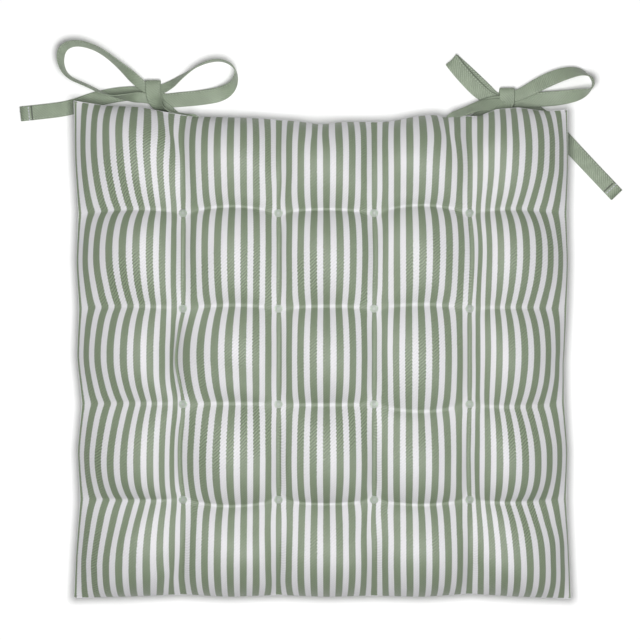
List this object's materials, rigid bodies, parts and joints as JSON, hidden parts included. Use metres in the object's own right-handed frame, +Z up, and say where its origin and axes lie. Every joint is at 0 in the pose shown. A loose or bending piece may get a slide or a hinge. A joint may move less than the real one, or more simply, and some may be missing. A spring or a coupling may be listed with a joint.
{
  "type": "tufted chair seat pad",
  "caption": "Square tufted chair seat pad with a striped cotton cover, fibre filling and two pairs of fabric ties along the back edge.",
  "frame": {"origin": "middle of the pad in plan, on the surface it lies on", "axes": "+Z up through the pad's thickness, +Y to the back edge with the ties, +X to the right seen from above with the ties away from the viewer"},
  "size_m": [0.4861, 0.4478, 0.0382],
  "materials": {
    "striped_cotton": "woven twill, matt, sage green and white stripes",
    "polyester_fibre": "white fibre",
    "sewing_thread": "spun thread",
    "green_twill": "folded cotton twill strip, matt",
    "clear_disc": "clear moulded plastic",
    "nylon_filament": "clear nylon"
  },
  "bodies": {
    "root": {"top_cover": "striped_cotton", "bottom_cover": "striped_cotton", "fibre_filling": "polyester_fibre", "seam_thread": "sewing_thread", "tuft_disc_top_row1_col1": "clear_disc", "tuft_disc_bottom_row1_col1": "clear_disc", "tuft_filament_row1_col1": "nylon_filament", "tuft_disc_top_row1_col2": "clear_disc", "tuft_disc_bottom_row1_col2": "clear_disc", "tuft_filament_row1_col2": "nylon_filament", "tuft_disc_top_row1_col3": "clear_disc", "tuft_disc_bottom_row1_col3": "clear_disc", "tuft_filament_row1_col3": "nylon_filament", "tuft_disc_top_row1_col4": "clear_disc", "tuft_disc_bottom_row1_col4": "clear_disc", "tuft_filament_row1_col4": "nylon_filament", "tuft_disc_top_row2_col1": "clear_disc", "tuft_disc_bottom_row2_col1": "clear_disc", "tuft_filament_row2_col1": "nylon_filament", "tuft_disc_top_row2_col2": "clear_disc", "tuft_disc_bottom_row2_col2": "clear_disc", "tuft_filament_row2_col2": "nylon_filament", "tuft_disc_top_row2_col3": "clear_disc", "tuft_disc_bottom_row2_col3": "clear_disc", "tuft_filament_row2_col3": "nylon_filament", "tuft_disc_top_row2_col4": "clear_disc", "tuft_disc_bottom_row2_col4": "clear_disc", "tuft_filament_row2_col4": "nylon_filament", "tuft_disc_top_row3_col1": "clear_disc", "tuft_disc_bottom_row3_col1": "clear_disc", "tuft_filament_row3_col1": "nylon_filament", "tuft_disc_top_row3_col2": "clear_disc", "tuft_disc_bottom_row3_col2": "clear_disc", "tuft_filament_row3_col2": "nylon_filament", "tuft_disc_top_row3_col3": "clear_disc", "tuft_disc_bottom_row3_col3": "clear_disc", "tuft_filament_row3_col3": "nylon_filament", "tuft_disc_top_row3_col4": "clear_disc", "tuft_disc_bottom_row3_col4": "clear_disc", "tuft_filament_row3_col4": "nylon_filament", "tuft_disc_top_row4_col1": "clear_disc", "tuft_disc_bottom_row4_col1": "clear_disc", "tuft_filament_row4_col1": "nylon_filament", "tuft_disc_top_row4_col2": "clear_disc", "tuft_disc_bottom_row4_col2": "clear_disc", "tuft_filament_row4_col2": "nylon_filament", "tuft_disc_top_row4_col3": "clear_disc", "tuft_disc_bottom_row4_col3": "clear_disc", "tuft_filament_row4_col3": "nylon_filament", "tuft_disc_top_row4_col4": "clear_disc", "tuft_disc_bottom_row4_col4": "clear_disc", "tuft_filament_row4_col4": "nylon_filament", "tie_left_a": "green_twill", "tie_left_b": "green_twill", "tie_right_a": "green_twill", "tie_right_b": "green_twill", "tie_stitches_left": "sewing_thread", "tie_stitches_right": "sewing_thread"}
  },
  "joints": []
}
